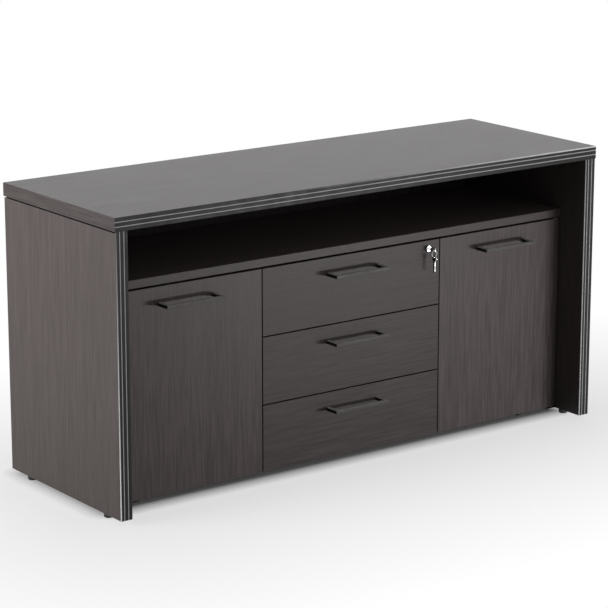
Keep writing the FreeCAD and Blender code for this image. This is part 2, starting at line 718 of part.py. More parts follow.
def build_drawer(number, drawer):
    """One drawer: front, handle, box boards, bottom in its grooves and runners."""
    low = f"fronts_bottom + {number} * (drawer_height + front_gap)"
    wide = ("stack_left + front_gap / 2", "stack_right - front_gap / 2")
    high = f"{low} + drawer_height"
    board = block(f"{drawer}_front_board", wide, ("front_face", "front_rear"), (low, high))
    eased = ease(f"{drawer}_front_eased", board, "board_easing", ("YMin",))
    box_low = f"{low} + box_lift"
    tray_low = f"{box_low} + groove_rise"
    slot_top = f"{tray_low} + tray_thickness + groove_play"
    left_groove = "box_left + box_board - box_groove"
    right_groove = "box_right - box_board + box_groove"
    slot = (tray_low, slot_top)
    depth = ("front_rear - box_groove", "front_rear")
    cuts = [block(f"{drawer}_front_slot", (left_groove, right_groove), depth, slot)]
    if drawer == "top":
        place = ("lock_across", "front_face", "lock_height")
        cuts.append(rod("lock_hole", "lock_radius + seat_fit", "front_thickness", place, "y"))
    node(cut(f"{drawer}_drawer_front", eased, cuts))
    build_handle(f"{drawer}_drawer_handle", "stack_offset", high)
    tall = (box_low, f"{box_low} + box_height")
    sides = []
    walls = {
        "left": (("box_left", "box_left + box_board"), (left_groove, "box_left + box_board")),
        "right": (("box_right - box_board", "box_right"), ("box_right - box_board", right_groove)),
    }
    for side, (thick, groove) in walls.items():
        name = f"{drawer}_{side}_wall"
        plank = block(f"{name}_board", thick, ("front_rear", "box_rear"), tall)
        slot_cut = block(f"{name}_slot", groove, ("front_rear", "box_rear"), slot)
        sides.append(cut(name, plank, [slot_cut]))
    node(group(f"{drawer}_drawer_sides", sides))
    between = ("box_left + box_board", "box_right - box_board")
    thick = ("box_rear - box_board", "box_rear")
    node(block(f"{drawer}_drawer_back", between, thick, (slot_top, tall[1])))
    tray = (f"{left_groove} + groove_play", f"{right_groove} - groove_play")
    deep = ("front_rear - box_groove + groove_play", "box_rear")
    node(block(f"{drawer}_drawer_bottom", tray, deep, (tray_low, f"{tray_low} + tray_thickness")))
    build_runners(drawer, f"{box_low} + box_height / 2")


def build_lock():
    """Cylinder lock of the top drawer: housing, nut, plug, cam and the strike that the cam rises behind."""
    axis = ("lock_across", "front_face", "lock_height")
    housing = (
        ("plug_radius + plug_fit", "-lock_flange"),
        ("lock_face", "-lock_flange"),
        ("lock_rim", "0"),
        ("lock_radius", "0"),
        ("lock_radius", "housing_rear - front_face"),
        ("plug_radius + plug_fit", "housing_rear - front_face"),
    )
    node(turn_body("lock_housing", housing, axis, "y"))
    seat = ("lock_across", "front_rear", "lock_height")
    nut = prism("lock_nut_blank", NUT_FLATS, "nut_radius", "nut_thickness", seat, "y")
    bore = rod("lock_nut_bore", "lock_radius + seat_fit", "nut_thickness", seat, "y")
    node(cut("lock_nut", nut, [bore]))
    tail = "cam_front + cam_thickness + tail_end - front_face"
    plug = (
        ("0", "-lock_flange"),
        ("plug_radius", "-lock_flange"),
        ("plug_radius", "cam_front - front_face"),
        ("plug_tail", "cam_front - front_face"),
        ("plug_tail", tail),
        ("0", tail),
    )
    blank = turn_body("lock_plug_blank", plug, axis, "y")
    width = "(key_thickness / 2 + key_fit)"
    height = "(key_blade / 2 + key_fit)"
    keyway = block(
        "keyway",
        (f"lock_across - {width}", f"lock_across + {width}"),
        ("front_face - lock_flange", "front_face - key_reach + key_length + key_fit"),
        (f"lock_height - {height}", f"lock_height + {height}"),
    )
    node(cut("lock_plug", blank, [keyway]))
    half = "cam_width / 2"
    cam = ((half, f"-{half}"), (half, half), ("-cam_reach", half), ("-cam_reach", f"-{half}"))
    place = ("lock_across", "cam_front", "lock_height")
    eye = (("0", "0", "plug_tail + seat_fit"),)
    node(extrude("lock_cam", "XZ_Plane", cam, "cam_thickness", place, circles=eye))
    wide = ("lock_across - strike_width / 2", "lock_across + strike_width / 2")
    start = "front_rear + strike_gap"
    leaf_low = "deck_bottom - strike_thickness"
    leaf = block("strike_leaf", wide, (start, f"{start} + strike_length"), (leaf_low, "deck_bottom"))
    thick = (start, f"{start} + strike_thickness")
    lip = block("strike_lip", wide, thick, ("strike_bottom", "deck_bottom"))
    node(fuse("lock_strike", [leaf, lip]))


def build_key(name, place, turn):
    """A flat key: round bow with an eye, and a blade with notches along its upper edge."""
    disc = doc.addObject("PartDesign::Body", f"{name}_bow")
    sketch = section(disc, "XY_Plane", (), (("0", "0", "key_bow"), ("-key_eye_inset", "0", "key_eye")))
    pad = disc.newObject("PartDesign::Pad", f"{name}_bow_pad")
    pad.Profile = sketch
    pad.Midplane = True
    pad.setExpression("Length", bind("key_thickness"))
    put(disc, place, turn)
    root = "key_bow - key_lap"
    low = "-key_blade / 2"
    high = "key_blade / 2"
    corners = [(root, low), ("key_length - key_blade / 2", low), ("key_length", "0")]
    corners.append(("key_length - key_blade / 2", high))
    for notch in (1, 3):
        rear = f"key_length - key_blade / 2 - {notch} * notch_width"
        corners.append((rear, high))
        corners.append((f"{rear} - notch_width / 2", f"{high} - key_notch"))
        corners.append((f"{rear} - notch_width", high))
    corners.append((root, high))
    blade = doc.addObject("PartDesign::Body", f"{name}_blade")
    sketch = section(blade, "XY_Plane", corners)
    pad = blade.newObject("PartDesign::Pad", f"{name}_blade_pad")
    pad.Profile = sketch
    pad.Midplane = True
    pad.setExpression("Length", bind("key_thickness"))
    put(blade, place, turn)
    node(fuse(name, [disc, blade]))


def build_keys():
    """The key in the lock, the ring in its eye and the spare key on the ring."""
    build_key("key", ("lock_across", "front_face - key_reach", "lock_height"), "key")
    build_key("spare_key", ("lock_across", "eye_back", "spare_height"), "x")
    wire = (
        ("ring_radius + ring_wire", "-ring_flat"),
        ("ring_radius + ring_wire", "ring_flat"),
        ("ring_radius", "2 * ring_flat"),
        ("ring_radius - ring_wire", "ring_flat"),
        ("ring_radius - ring_wire", "-ring_flat"),
        ("ring_radius", "-2 * ring_flat"),
    )
    node(turn_body("key_ring", wire, ("lock_across", "eye_back", "ring_height"), "y"))


def write_parts():
    """Checks every object and writes one file for each sub-part."""
    doc.recompute()
    for thing in doc.Objects:
        if "Invalid" in thing.State or "Error" in thing.State:
            raise RuntimeError(f"{thing.Label} failed: {thing.State}")
    for piece in nodes:
        if piece.Shape.isNull() or not piece.Shape.isValid() or not piece.Shape.Solids:
            raise RuntimeError(f"{piece.Label} has no valid solid")
    os.makedirs("parts", exist_ok=True)
    for piece in nodes:
        piece.Shape.exportStep(f"parts/{piece.Label}.step")
    print(len(nodes), "sub-parts,", sum(len(piece.Shape.Solids) for piece in nodes), "solids")


build_top()
build_sides()
build_carcass_boards()
build_shelf()
build_glides()
build_pivots()
build_doors()
for order, drawer_name in enumerate(("bottom", "middle", "top")):
    build_drawer(order, drawer_name)
build_lock()
build_keys()
write_parts()
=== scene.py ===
import math

import bmesh
import bpy
from bpy.props import FloatProperty, FloatVectorProperty, PointerProperty
from mathutils import Matrix, Vector


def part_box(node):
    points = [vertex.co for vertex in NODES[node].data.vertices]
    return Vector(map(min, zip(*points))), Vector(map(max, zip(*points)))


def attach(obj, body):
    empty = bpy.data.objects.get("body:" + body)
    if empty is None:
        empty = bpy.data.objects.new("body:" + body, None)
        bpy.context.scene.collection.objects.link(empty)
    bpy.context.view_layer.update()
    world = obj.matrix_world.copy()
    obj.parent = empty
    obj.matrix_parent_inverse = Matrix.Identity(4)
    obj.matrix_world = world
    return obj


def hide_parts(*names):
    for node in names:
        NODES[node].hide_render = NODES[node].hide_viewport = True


bl_info = {
    "name": "Executive cabinet finishes",
    "version": (1, 0, 0),
    "blender": (4, 5, 0),
    "location": "View3D > Sidebar > Cabinet",
    "description": "Dresses the boards, trim and fittings of a low cabinet and sets up its studio",
    "category": "Object",
}

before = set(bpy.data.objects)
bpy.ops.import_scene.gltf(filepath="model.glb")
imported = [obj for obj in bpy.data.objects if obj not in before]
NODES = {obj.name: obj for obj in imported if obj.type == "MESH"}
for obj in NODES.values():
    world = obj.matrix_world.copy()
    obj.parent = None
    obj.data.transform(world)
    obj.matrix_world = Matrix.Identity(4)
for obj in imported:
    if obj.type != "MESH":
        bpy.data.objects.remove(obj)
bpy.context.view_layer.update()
DRAWERS = ("bottom", "middle", "top")
SIDES = ("left", "right")
AXES = {"x": (1, 0, 0), "y": (0, 1, 0), "z": (0, 0, 1)}
FRONTWARDS, REARWARDS = (0, -1, 0), (0, 1, 0)
UPWARDS, DOWNWARDS = (0, 0, 1), (0, 0, -1)

# A hair's breadth in metres, by which a mask reaches past the faces at its limit.
HAIR = 0.0001

# Ranges that become 0 to 1: most of a noise, a face turned one way, and the bend of an arris.
NOISE_SPAN = (0.3, 0.7)
TURNED_SPAN = (0.5, 0.9)
ARRIS_SPAN = (0.995, 0.86)

# Layers of the printed grain: repeats to the metre along it, fineness against the streaks, detail, roughness.
BANDS = (0.8, 1 / 9, 2, 0.5)
STREAKS = (9.0, 1.0, 3, 0.6)
PORES = (60.0, 3.6, 2, 0.55)

# How the layers go together: share of the bands, half range of the figure, range and share of the pores.
BAND_SHARE = 0.12
FIGURE_HALF = 0.09
PORE_SPAN = (0.60, 0.70)
PORE_SHARE = 0.5

# How far a face has to look along the grain to be an end edge.
END_TURN = 0.7

# Relief of the grain: how far streaks rise and pores sink, its depth in metres and its strength.
STREAK_RISE, PORE_FALL = 0.4, 0.6
GRAIN_DEPTH, GRAIN_STRENGTH = 0.00012, 0.6

# Lighter arrises: their width in metres, and how far the lighter tone shows on the boards, where it is partly
# rubbed wear and partly painted highlight.
BOARD_ARRIS = 0.0016
METAL_ARRIS = 0.0007
BOARD_WEAR_HIGHLIGHT = 0.4

# Brushed lines: repeats to the metre along them, width and depth in metres, darkest and lightest shade.
LINE_STRETCH = 9.0
LINE_PITCH = 0.0004
LINE_DEPTH = 0.00003
LINE_SHADES = (0.86, 1.12)

# Clouds in the roughness of metal and lacquer: repeats to the metre.
CLOUD_SCALE = 38.0

# Plastic: clouds and grains of the skin, in repeats to the metre, darkest and lightest shade.
PLASTIC_CLOUDS = 60.0
PLASTIC_GRAINS = 2400.0
PLASTIC_SHADES = (0.85, 1.15)

# Depth behind the front, in metres, over which the painted highlight on the outer edges of the trim ends.
HIGHLIGHT_SPAN = (0.0030, 0.0018)

# The painted highlight on the side edges fades towards a height, in heights of the edge profile, and is
# brightest at the bottom.
HIGHLIGHT_FADES = {"left": 1.1, "right": 2.2}

# Turned heads of the screws, as shares of radius and height.
HEAD_PROFILE = ((1.0, 0.0), (1.0, 0.25), (0.92, 0.7), (0.72, 1.0))

# Cross recesses: reach and half width of the arms as shares of the radius, and the taper to the floor.
SCREW_CROSS = (0.5, 0.13)
CAM_CROSS = (0.42, 0.12)
RECESS_TAPER = 0.7

# Screws along the sides of the back panel: heights above the floor, in metres.
BACK_SIDE_HEIGHTS = (0.16, 0.30, 0.43)

# Screws of the pivot plates: from the rear edge of the plates, in metres.
PLATE_ROWS = (0.009, 0.025)

# Section of the lock collar, in millimetres: radius and height.
COLLAR_PROFILE = ((8.66, 0), (9.3, 0), (9.3, 3.3), (9.15, 3.8), (8.95, 4.0), (8.75, 3.8), (8.66, 3.3))

# Points around each turned piece.
SCREW_POINTS, CAM_POINTS, PAD_POINTS, COLLAR_POINTS = 20, 32, 24, 40

# Soft panels of light, in metres: place, point that they face, width and height.
FRONT_PANEL = ((1.45, -2.5, 0.08), (0.1, -0.16, 0.80), 1.0, 0.2)
LEFT_PANEL = ((-3.2, 0.7, 0.9), (-0.75, 0.3, 3.2), 1.6, 1.0)
BACK_PANEL = ((3.0, 4.2, 2.1), (0.0, 0.0, 0.75), 6.0, 3.0)

# Own white of the floor: from one distance off the cabinet to another, it goes from one share to another.
NEAR_WHITE = (0.0, 0.065, 0.022, 0.66)
FAR_WHITE = (0.1, 0.9, 0.0, 0.34)


def colour(name, description, default):
    """A colour property."""
    return FloatVectorProperty(
        name=name, description=description, default=default, subtype="COLOR", size=3, min=0, max=1
    )


def length(name, description, default):
    """A length property, in metres."""
    return FloatProperty(name=name, description=description, default=default, unit="LENGTH", min=0)


def share(name, description, default):
    """A property from 0 to 1."""
    return FloatProperty(name=name, description=description, default=default, subtype="FACTOR", min=0, max=1)


def angle(name, description, degrees):
    """An angle property."""
    return FloatProperty(name=name, description=description, default=math.radians(degrees), subtype="ANGLE")


def power(name, description, default):
    """The power of a lamp, in watts."""
    return FloatProperty(name=name, description=description, default=default, unit="POWER")


class BoardFinish(bpy.types.PropertyGroup):
    """Laminate of the boards and the boards of the drawer boxes."""

    wenge_light: colour("Wenge, light grain", "Lighter streaks of the laminate", (0.089, 0.073, 0.071))
    wenge_dark: colour("Wenge, dark grain", "Darker streaks of the laminate", (0.053, 0.042, 0.041))
    wenge_pore: colour("Wenge, pores", "Open pores printed along the grain", (0.024, 0.019, 0.018))
    # Lighter arrises of the boards: partly rubbed wear, partly painted highlight.
    wenge_wear_highlight: colour("Wenge, worn edges", "Rubbed edges of the boards", (0.19, 0.175, 0.168))
    wenge_sheen: share("Laminate roughness", "Roughness of the laminate", 0.42)
    streak: length("Streak width", "Width of the fine streaks across the grain", 0.0026)
    # Painted shade: the level boards are a darker copy of the same laminate.
    level_shade: share("Level boards", "Tone of the level boards against the upright ones", 0.76)
    # Painted shade: the back panel is darker still, for the shade in the niche.
    back_shade: share("Back panel", "Tone of the back panel against the upright boards", 0.65)
    # Painted light: the deck's upper face is lightened for the light that falls into the niche.
    deck_painted_light: FloatProperty(
        name="Deck, upper face", description="Lightens the deck's upper face", default=2.2, min=0
    )
    side_figure: share("Side panels, figure", "Contrast of the grain on the side panels", 0.62)
    # Painted shade: a darker tone over the inner faces of the side panels, and near black in the gap under
    # the top.
    backing_shade: colour("Side panels, backing", "Backing of their inner faces", (0.0095, 0.0080, 0.0072))
    backing_shade_share: share("Side panels, backing share", "How far the backing hides the grain", 0.5)
    # Painted shade in the gap under the top.
    gap_shade: colour("Shadow gap", "Blackened gap between the top and the side panels", (0.003, 0.003, 0.003))
    gap_height: length("Shadow gap, height", "Height of the gap under the top", 0.004)
    gap_depth: length("Shadow gap, depth", "Depth of the gap from the side", 0.007)
    box_light: colour("Drawer board, light", "Lighter tone of the drawer boxes", (0.30, 0.29, 0.275))
    box_dark: colour("Drawer board, dark", "Darker tone of the drawer boxes", (0.23, 0.22, 0.205))


class FittingFinish(bpy.types.PropertyGroup):
    """Edge trim, metals and plastics."""

    trim: colour("Edge trim", "Reeded edge profiles", (0.028, 0.0275, 0.0273))
    # Painted highlight on the outer edges of the trim, and its width along the top and the sides.
    trim_highlight: colour("Edge trim, rubbed", "Outer edges of the reeded profiles", (0.80, 0.80, 0.80))
    top_highlight: length("Rubbed edge, top", "Width of the rubbed edge along the top", 0.0036)
    side_highlight: length("Rubbed edge, sides", "Width of the rubbed edges of the side panels", 0.0022)
    silver_level: colour("Silver lines, top", "Inlay strips of the top's edge", (0.34, 0.34, 0.34))
    silver_upright: colour("Silver lines, sides", "Inlay strips of the side edges", (0.34, 0.34, 0.34))
    graphite: colour("Graphite", "Front of the bow handles", (0.076, 0.072, 0.070))
    # Painted light on the top faces of the handles.
    graphite_top_light: colour("Graphite, top", "Top of the bow handles, rubbed by hands", (0.46, 0.455, 0.45))
    # Painted shade on the cheeks of the handles.
    graphite_cheek_shade: colour("Graphite, cheeks", "Cheeks of the bow handles", (0.012, 0.011, 0.011))
    # On the lock collar this dark tone is painted shade of the lock's side wall.
    plate: colour("Dark plates", "Pivot plates, lock strike and lock collar", (0.008, 0.008, 0.008))
    plate_worn: colour("Dark plates, rubbed", "Rubbed edges of the dark plates", (0.03, 0.03, 0.03))
    zinc: colour("Zinc", "Runners, cam connectors and screws", (0.56, 0.57, 0.58))
    metal_worn: colour("Metal, rubbed", "Rubbed edges of the zinc and silver pieces", (0.5, 0.5, 0.5))
    chrome: colour("Chrome", "Lock and keys", (0.80, 0.80, 0.81))
    chrome_worn: colour("Chrome, rubbed", "Rubbed edges of the lock and keys", (0.9, 0.9, 0.9))
    # Painted shade on the flat cheeks of the spare key.
    key_cheek_shade: colour("Spare key, cheeks", "Flat cheeks of the spare key", (0.08, 0.08, 0.08))
    black_plastic: colour("Black plastic", "Glides and door pads", (0.014, 0.014, 0.015))
    bush_plastic: colour("Bush plastic", "Pivot bushes", (0.42, 0.41, 0.39))


class FastenerSizes(bpy.types.PropertyGroup):
    """Heads of the screws, and where they sit."""

    handle_head: length("Handle screws, radius", "Heads behind the handles", 0.004)
    handle_rise: length("Handle screws, height", "Heads behind the handles", 0.0022)
    handle_leg: length("Handle screws, inset", "From the end of a handle to the middle of its leg", 0.005)
    back_head: length("Back screws, radius", "Heads on the back panel", 0.0035)
    back_rise: length("Back screws, height", "Heads on the back panel", 0.0008)
    back_inset: length("Back screws, inset", "From the edges of the back panel", 0.009)
    deck_middle: length("Back screws, deck", "From the underside of the deck to its middle", 0.0105)
    plate_head: length("Plate screws, radius", "Heads on the pivot plates", 0.0038)
    plate_rise: length("Plate screws, height", "Heads on the pivot plates", 0.0012)
    plate_inset: length("Plate screws, inset", "From the ends of the pivot plates", 0.0145)
    plate_gauge: length("Pivot plates, gauge", "Thickness of the upper pivot plates", 0.003)
    strike_head: length("Strike screws, radius", "Heads on the lock strike", 0.0032)
    strike_rise: length("Strike screws, height", "Heads on the lock strike", 0.001)
    strike_inset: length("Strike screws, inset", "From the rear edge of the lock strike", 0.008)
    strike_gauge: length("Lock strike, gauge", "Thickness of the lock strike", 0.002)
    cam_radius: length("Cam connectors, radius", "Round housings of the cam connectors", 0.0075)
    cam_recess: length("Cam connectors, recess", "Depth of the cross recess", 0.0025)
    pad_radius: length("Door pads, radius", "Soft pads that the doors close on", 0.003)


class StudioSettings(bpy.types.PropertyGroup):
    """Camera, lights and floor."""

    lens: FloatProperty(name="Lens", description="Focal length in millimetres", default=149.5, min=1)
    distance: length("Camera distance", "Camera to the point it looks at", 6.557)
    azimuth: angle("Azimuth", "Camera to the left of the front", 36.48)
    elevation: angle("Elevation", "Camera above the horizon", 14.29)
    aim: FloatVectorProperty(
        name="Aim",
        description="Point that the camera looks at",
        default=(-0.0199, 0.0, 0.386),
        subtype="TRANSLATION",
    )
    ambient: FloatProperty(name="Ambient", description="Strength of the room's light", default=0.28, min=0)
    front_light: power("Front light", "Low light in front", 38)
    side_light: power("Side light", "Light on the left", 108)
    back_light: power("Back light", "Wide light behind", 62)
    floor: colour("Floor", "Pale studio floor", (0.86, 0.86, 0.86))
    floor_reach: length("Floor, reach", "Middle of the floor to its edges", 30.0)


def grain_factors(axis, along, across):
    """Factors that draw a pattern out along one axis."""
    return tuple(along if name == axis else across for name in "xyz")


def shades(tint, darker, lighter):
    """A darker and a lighter shade of a tint."""
    return [[min(1.0, factor * part) for part in tint] for factor in (darker, lighter)]


class Finish:
    """A procedural material: one shader and the nodes that feed it."""

    def __init__(self, name, **constants):
        self.material = bpy.data.materials.new(name)
        self.material.use_nodes = True
        self.tree = self.material.node_tree
        self.shader = self.tree.nodes["Principled BSDF"]
        for socket, value in constants.items():
            self.shader.inputs[socket.replace("_", " ")].default_value = value

    def add(self, kind, inputs=None, **settings):
        """A node with its settings; an input is a value or the output that feeds it."""
        made = self.tree.nodes.new(kind)
        for name, value in settings.items():
            setattr(made, name, value)
        for socket, value in (inputs or {}).items():
            if isinstance(value, bpy.types.NodeSocket):
                self.tree.links.new(value, made.inputs[socket])
            else:
                made.inputs[socket].default_value = value
        return made

    def math(self, operation, first, second=0.5):
        """One step of arithmetic."""
        return self.add("ShaderNodeMath", {0: first, 1: second}, operation=operation).outputs[0]

    def times(self, first, second):
        """One value times another."""
        return self.math("MULTIPLY", first, second)

    def scaled(self, vector, factors):
        """A vector times one factor for each axis."""
        inputs = {0: vector, 1: factors}
        return self.add("ShaderNodeVectorMath", inputs, operation="MULTIPLY").outputs[0]

    def dot(self, first, second):
        """How far two ways agree."""
        inputs = {0: first, 1: second}
        return self.add("ShaderNodeVectorMath", inputs, operation="DOT_PRODUCT").outputs["Value"]

    def parts(self, vector):
        """The three parts of a vector."""
        return self.add("ShaderNodeSeparateXYZ", {0: vector}).outputs

    def noise(self, vector, detail=2.0, roughness=0.5, scale=1.0):
        """Grey noise at a vector."""
        inputs = {"Vector": vector, "Scale": scale, "Detail": detail, "Roughness": roughness}
        return self.add("ShaderNodeTexNoise", inputs).outputs["Fac"]

    def spread(self, value, low, high, to_low=0.0, to_high=1.0):
        """A value taken from one range to another."""
        inputs = {"Value": value, "From Min": low, "From Max": high, "To Min": to_low, "To Max": to_high}
        return self.add("ShaderNodeMapRange", inputs).outputs[0]

    def choose(self, factor, first, second):
        """One vector or another. A Mix node has its vectors at inputs 4 and 5 and at output 1."""
        inputs = {0: factor, 4: first, 5: second}
        return self.add("ShaderNodeMix", inputs, data_type="VECTOR").outputs[1]

    def mix(self, factor, first, second):
        """One colour turning into another. A Mix node has its colours at inputs 6 and 7 and at output 2."""
        inputs = {0: factor}
        for number, tone in ((6, first), (7, second)):
            inputs[number] = tone if isinstance(tone, bpy.types.NodeSocket) else (*tone, 1)
        return self.add("ShaderNodeMix", inputs, data_type="RGBA").outputs[2]

    def place(self):
        """Place on the piece, in metres."""
        return self.add("ShaderNodeTexCoord").outputs["Object"]

    def way(self):
        """Way that the surface faces, on the piece."""
        return self.add("ShaderNodeTexCoord").outputs["Normal"]

    def topside(self):
        """One on the faces that look up."""
        return self.spread(self.parts(self.way())[2], *TURNED_SPAN)

    def cheeks(self):
        """One on the faces that look to either side."""
        return self.spread(self.math("ABSOLUTE", self.parts(self.way())[0]), *TURNED_SPAN)

    def arris(self, radius):
        """One along the sharp and rounded edges of a piece, and nothing on its faces."""
        rounded = self.add("ShaderNodeBevel", {"Radius": radius}, samples=6).outputs[0]
        face = self.add("ShaderNodeNewGeometry").outputs["Normal"]
        return self.spread(self.dot(rounded, face), *ARRIS_SPAN)

    def feed(self, socket, output):
        """Drives one input of the shader."""
        self.tree.links.new(output, self.shader.inputs[socket])

    def bump(self, height, distance, strength=0.5):
        """Relief from a height."""
        inputs = {"Height": height, "Distance": distance, "Strength": strength}
        self.feed("Normal", self.add("ShaderNodeBump", inputs).outputs[0])

    def brushed(self, tint, axis, pitch=LINE_PITCH):
        """A tone with fine brushed lines along one axis, and the relief of the lines."""
        factors = grain_factors(axis, LINE_STRETCH, 1 / pitch)
        lines = self.noise(self.scaled(self.place(), factors), 2, 0.6)
        self.bump(lines, LINE_DEPTH)
        return self.mix(lines, *shades(tint, *LINE_SHADES))

    def clouded(self, low, high):
        """Roughness that drifts softly between two values."""
        clouds = self.noise(self.place(), 3, 0.5, CLOUD_SCALE)
        self.feed("Roughness", self.spread(clouds, *NOISE_SPAN, low, high))


def wenge(name, axis, edge_axis, tone=1.0, figure=1.0, painted_light=None, overlay=None):
    """Dark wood laminate with straight grain along one axis, and along another on its end edges.

    A tone below one darkens the whole board as painted shade, the painted light brightens its upper face, and
    the overlay lays more tones on the board.
    """
    finish = bpy.context.scene.cabinet_boards
    made = Finish(name, IOR=1.42, Specular_IOR_Level=0.2)
    spot = made.place()
    is_end = made.math("GREATER_THAN", made.math("ABSOLUTE", made.dot(made.way(), AXES[axis])), END_TURN)

    def layer(along, fineness, detail, roughness):
        across = fineness / finish.streak
        runs = [made.scaled(spot, grain_factors(run, along, across)) for run in (axis, edge_axis)]
        return made.noise(made.choose(is_end, *runs), detail, roughness)

    streaks = layer(*STREAKS)
    pores = made.spread(layer(*PORES), *PORE_SPAN)
    grain = made.math("ADD", made.times(layer(*BANDS), BAND_SHARE), made.times(streaks, 1 - BAND_SHARE))
    half = FIGURE_HALF / figure
    grain = made.spread(grain, 0.5 - half, 0.5 + half)
    tints = [[tone * part for part in tint] for tint in (finish.wenge_dark, finish.wenge_light)]
    board = made.mix(grain, *tints)
    # Painted light on the upper face.
    if painted_light:
        lit_tints = [[painted_light * part for part in tint] for tint in tints]
        board = made.mix(made.topside(), board, made.mix(grain, *lit_tints))
    board = made.mix(made.times(pores, PORE_SHARE * figure), board, finish.wenge_pore)
    # Lighter arrises: partly rubbed wear, partly painted highlight.
    board = made.mix(made.times(made.arris(BOARD_ARRIS), BOARD_WEAR_HIGHLIGHT), board, finish.wenge_wear_highlight)
    if overlay:
        board = overlay(made, board)
    made.feed("Base Color", board)
    sheen = finish.wenge_sheen
    made.feed("Roughness", made.spread(streaks, *NOISE_SPAN, sheen - 0.05, sheen + 0.06))
    relief = made.math("SUBTRACT", made.times(streaks, STREAK_RISE), made.times(pores, PORE_FALL))
    made.bump(relief, GRAIN_DEPTH, GRAIN_STRENGTH)
    return made.material


def painted_side_shade(made, board):
    """Paints shade on the inner faces of the side panels, and paints the gap under the top near black as
    shade.
    """
    finish = bpy.context.scene.cabinet_boards
    low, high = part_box("right_side_panel")
    across, _, up = made.parts(made.place())
    offset = made.math("ABSOLUTE", across)
    inside = made.math("LESS_THAN", offset, low.x + HAIR)
    # Painted shade on the inner faces.
    board = made.mix(made.times(inside, finish.backing_shade_share), board, finish.backing_shade)
    # Painted shade: near black in the gap under the top.
    beside = made.math("GREATER_THAN", offset, high.x - finish.gap_depth - HAIR)
    above = made.math("GREATER_THAN", up, high.z - finish.gap_height - HAIR)
    return made.mix(made.times(beside, above), board, finish.gap_shade)


def drawn(name, tint, axis, wear, metallic, roughness, worn=0.2, pitch=LINE_PITCH, gloss=0.5, cheek_shade=None):
    """Metal or hard lacquer with fine lines along one axis and brighter arrises."""
    made = Finish(name, Metallic=metallic, Specular_IOR_Level=gloss)
    tone = made.brushed(tint, axis, pitch)
    tone = made.mix(made.times(made.arris(METAL_ARRIS), worn), tone, wear)
    # Painted shade on the cheeks, where a cheek shade is given.
    if cheek_shade is not None:
        tone = made.mix(made.cheeks(), tone, cheek_shade)
    made.feed("Base Color", tone)
    made.clouded(0.8 * roughness, 1.2 * roughness)
    return made.material


def moulded(name, tint, roughness):
    """Moulded plastic with a fine grained skin."""
    made = Finish(name, IOR=1.46)
    spot = made.place()
    clouds = made.noise(spot, 3, 0.55, PLASTIC_CLOUDS)
    made.feed("Base Color", made.mix(clouds, *shades(tint, *PLASTIC_SHADES)))
    made.feed("Roughness", made.spread(clouds, *NOISE_SPAN, roughness - 0.06, roughness + 0.08))
    grains = made.noise(spot, 2, 0.5, PLASTIC_GRAINS)
    made.bump(grains, 0.00004)
    return made.material


def drawer_board(name, axis):
    """Grey laminate of the drawer boxes, with a soft linen-like print."""
    finish = bpy.context.scene.cabinet_boards
    made = Finish(name)
    spot = made.place()
    along = made.noise(made.scaled(spot, grain_factors(axis, 20.0, 900.0)), 2, 0.6)
    cross = made.noise(made.scaled(spot, grain_factors("z", 40.0, 700.0)), 2, 0.6)
    weave = made.math("ADD", made.times(along, 0.6), made.times(cross, 0.4))
    made.feed("Base Color", made.mix(made.spread(weave, 0.35, 0.65), finish.box_dark, finish.box_light))
    made.feed("Roughness", made.spread(weave, *NOISE_SPAN, 0.48, 0.62))
    made.bump(weave, 0.00005)
    return made.material


def reeded_trim(name, axis, edge_axis, edge, run, front):
    """Dark reeded trim along one axis. One edge carries a painted highlight, stronger along a run."""
    finish = bpy.context.scene.cabinet_fittings
    made = Finish(name, Specular_IOR_Level=0.08)
    parts = dict(zip("xyz", made.parts(made.place())))
    tone = made.brushed(finish.trim, axis)
    outer = made.spread(parts[edge_axis], *edge)
    near = made.spread(parts["y"], *(front + depth for depth in HIGHLIGHT_SPAN))
    # Painted highlight along the outer front edge, stronger along the run.
    rubbed = made.times(made.times(outer, near), made.spread(parts[axis], *run))
    made.feed("Base Color", made.mix(rubbed, tone, finish.trim_highlight))
    made.clouded(0.34, 0.46)
    return made.material


def bow_graphite(name):
    """Satin graphite, with painted shade on the cheeks of a handle and painted light on its top."""
    finish = bpy.context.scene.cabinet_fittings
    made = Finish(name, Specular_IOR_Level=0.12)
    tone = made.brushed(finish.graphite, "x")
    # Painted light on the top faces.
    tone = made.mix(made.topside(), tone, finish.graphite_top_light)
    # Painted shade on the cheeks, the faces that look to either side.
    tone = made.mix(made.cheeks(), tone, finish.graphite_cheek_shade)
    made.feed("Base Color", tone)
    made.clouded(0.34, 0.50)
    return made.material


def dress(material, *names):
    """Gives a material to some of the frame's pieces."""
    for name in names:
        mesh = NODES[name].data
        mesh.materials.clear()
        mesh.materials.append(material)


def add_piece(name, shape, body, material):
    """A finished mesh that rides on a body."""
    mesh = bpy.data.meshes.new(name)
    bmesh.ops.recalc_face_normals(shape, faces=shape.faces[:])
    shape.to_mesh(mesh)
    shape.free()
    mesh.materials.append(material)
    made = bpy.data.objects.new(name, mesh)
    bpy.context.scene.collection.objects.link(made)
    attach(made, body)
    return made


def facing(place, way):
    """A matrix that stands a fitting at a place, its head pointing one way."""
    turn = Vector(way).to_track_quat("Z", "Y").to_matrix().to_4x4()
    return Matrix.Translation(place) @ turn


def skin(shape, rings):
    """Smooth faces between neighbouring rings of points."""
    count = len(rings[0])
    for low, high in zip(rings, rings[1:]):
        for n in range(count):
            after = (n + 1) % count
            shape.faces.new((low[n], low[after], high[after], high[n])).smooth = True


def turned(shape, profile, count):
    """A turned surface through pairs of radius and height, and its rings of points."""
    step = 2 * math.pi / count
    rings = []
    for radius, height in profile:
        spots = [(radius * math.cos(n * step), radius * math.sin(n * step), height) for n in range(count)]
        rings.append([shape.verts.new(spot) for spot in spots])
    skin(shape, rings)
    return rings


